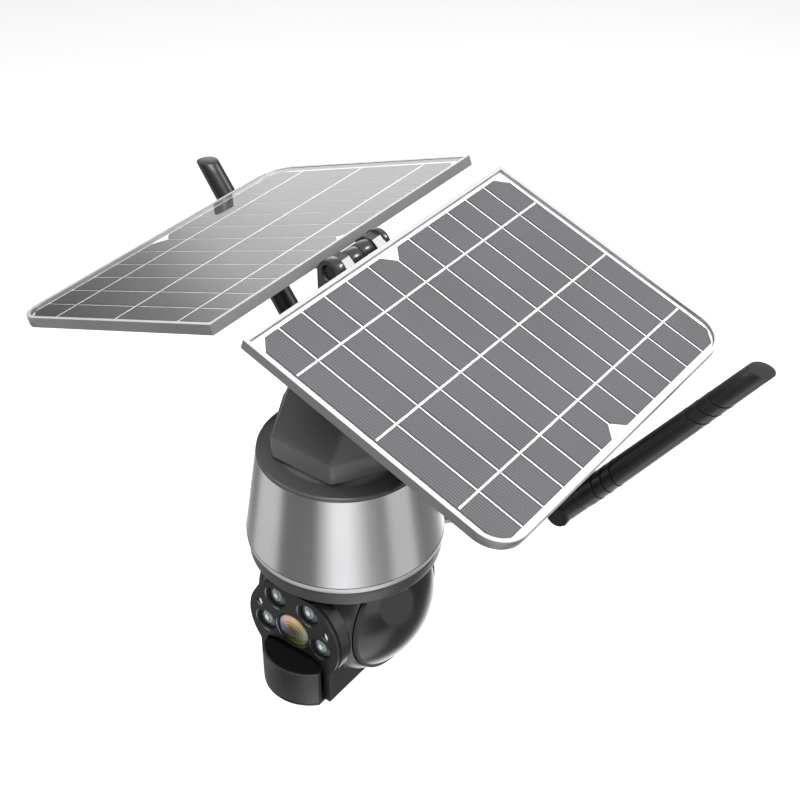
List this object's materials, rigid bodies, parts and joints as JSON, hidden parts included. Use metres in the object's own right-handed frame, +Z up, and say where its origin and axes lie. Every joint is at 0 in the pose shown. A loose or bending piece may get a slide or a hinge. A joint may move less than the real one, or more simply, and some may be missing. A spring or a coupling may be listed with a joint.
{
  "type": "solar-powered security camera",
  "caption": "Solar-powered pan and tilt security camera on a wall bracket, with folding solar panels, a ball-shaped head and swivelling aerials.",
  "frame": {"origin": "middle of the wall plate's rear face, where it meets the wall", "axes": "+Z up, -Y straight out from the wall the way the camera looks, +X to the right for someone facing the camera"},
  "size_m": [0.4122, 0.2324, 0.2877],
  "materials": {
    "silver_shell": "satin metallic paint",
    "pale_trim": "satin",
    "dark_skirt": "satin",
    "charcoal_plastic": "fine texture, satin",
    "wall_metal": "powder coat",
    "panel_frame": "anodised satin",
    "backsheet": "matte",
    "solar_glass": "clear, low iron",
    "solar_cell": "blue-grey silicon with fine silver fingers",
    "black_plastic": "satin",
    "hinge_metal": "satin black",
    "steel_screw": "zinc plated",
    "bolt_steel": "black oxide",
    "gloss_black": "polished",
    "motor_can": "satin",
    "gear_plastic": "moulded",
    "battery_wrap": "shrink sleeve",
    "circuit_board": "solder mask",
    "window_film": "infrared-passing, satin",
    "sensor_can": "plated",
    "lens_glass": "coated",
    "lamp_glass": "clear, moulded rings",
    "antenna_rubber": "satin",
    "antenna_plastic": "satin"
  },
  "bodies": {
    "mount_body": {"wall_plate": "wall_metal", "bracket_screws": "steel_screw", "rear_bracket": "charcoal_plastic", "mast_cap": "pale_trim", "right_antenna_wing": "charcoal_plastic", "left_antenna_wing": "charcoal_plastic", "antenna_sockets": "black_plastic", "body_shell": "silver_shell", "top_cover": "charcoal_plastic", "trim_ring": "pale_trim", "lower_skirt": "dark_skirt", "body_chassis": "black_plastic", "cover_screws": "steel_screw", "base_housing": "charcoal_plastic", "hinge_post": "charcoal_plastic", "hinge_bolt": "bolt_steel", "battery_tray": "black_plastic", "battery_cells": "battery_wrap", "charge_board": "circuit_board", "main_board": "circuit_board", "pan_motor": "motor_can"},
    "right_panel": {"right_panel_frame": "panel_frame", "right_panel_backsheet": "backsheet", "right_panel_glass": "solar_glass", "right_solar_cells": "solar_cell", "right_hinge_leaf": "hinge_metal", "right_leaf_screws": "steel_screw", "right_junction_box": "black_plastic"},
    "left_panel": {"left_panel_frame": "panel_frame", "left_panel_backsheet": "backsheet", "left_panel_glass": "solar_glass", "left_solar_cells": "solar_cell", "left_hinge_leaf": "hinge_metal", "left_leaf_screws": "steel_screw", "left_junction_box": "black_plastic"},
    "pan_carrier": {"turntable": "dark_skirt", "pan_gear": "gear_plastic", "right_side_cap": "gloss_black", "left_side_cap": "gloss_black", "tilt_motor": "motor_can", "tilt_bearing": "gear_plastic"},
    "drive_pinion": {"pan_pinion": "gear_plastic"},
    "camera_head": {"head_shell": "gloss_black", "face_plate": "black_plastic", "motion_window": "window_film", "bay_tray": "black_plastic", "motion_sensor": "sensor_can", "lens_barrel": "black_plastic", "front_lens": "lens_glass", "image_board": "circuit_board", "lamp_cups": "black_plastic", "lamp_lenses": "lamp_glass", "lamp_board": "circuit_board", "sensor_windows": "window_film"},
    "right_antenna_base": {"right_antenna_swivel": "antenna_plastic"},
    "right_antenna": {"right_antenna_knuckle": "antenna_plastic", "right_antenna_sleeve": "antenna_rubber"},
    "left_antenna_base": {"left_antenna_swivel": "antenna_plastic"},
    "left_antenna": {"left_antenna_knuckle": "antenna_plastic", "left_antenna_sleeve": "antenna_rubber"}
  },
  "joints": [
    {"name": "right_panel_hinge", "type": "hinge", "parent": "mount_body", "child": "right_panel", "pos_m": [0, -0.131, 0.1555], "axis": [0, 1, 0], "range_deg": [-35, 25]},
    {"name": "left_panel_hinge", "type": "hinge", "parent": "mount_body", "child": "left_panel", "pos_m": [0, -0.131, 0.1555], "axis": [0, -1, 0], "range_deg": [-35, 25]},
    {"name": "pan_turn", "type": "hinge", "parent": "mount_body", "child": "pan_carrier", "pos_m": [0, -0.145, -0.015], "axis": [0, 0, 1], "range_deg": [-175, 175]},
    {"name": "pinion_turn", "type": "hinge", "parent": "mount_body", "child": "drive_pinion", "pos_m": [0, -0.12, -0.006], "axis": [0, 0, 1], "range_deg": [-574, 574]},
    {"name": "head_tilt", "type": "hinge", "parent": "pan_carrier", "child": "camera_head", "pos_m": [0, -0.145, -0.0713], "axis": [1, 0, 0], "range_deg": [-5, 85]},
    {"name": "right_antenna_turn", "type": "hinge", "parent": "mount_body", "child": "right_antenna_base", "pos_m": [0.0775, -0.0363, -0.044], "axis": [1, 0, 0], "range_deg": [-8, 180]},
    {"name": "left_antenna_turn", "type": "hinge", "parent": "mount_body", "child": "left_antenna_base", "pos_m": [-0.0775, -0.0363, -0.044], "axis": [1, 0, 0], "range_deg": [-8, 180]},
    {"name": "right_antenna_fold", "type": "hinge", "parent": "right_antenna_base", "child": "right_antenna", "pos_m": [0.0865, -0.0363, -0.044], "axis": [0, 1, 0], "range_deg": [-3, 54]},
    {"name": "left_antenna_fold", "type": "hinge", "parent": "left_antenna_base", "child": "left_antenna", "pos_m": [-0.0865, -0.0363, -0.044], "axis": [0, -1, 0], "range_deg": [-3, 54]}
  ],
  "couplings": [
    {"joint": "pinion_turn", "follows": "pan_turn", "ratio": -3.2759}
  ]
}
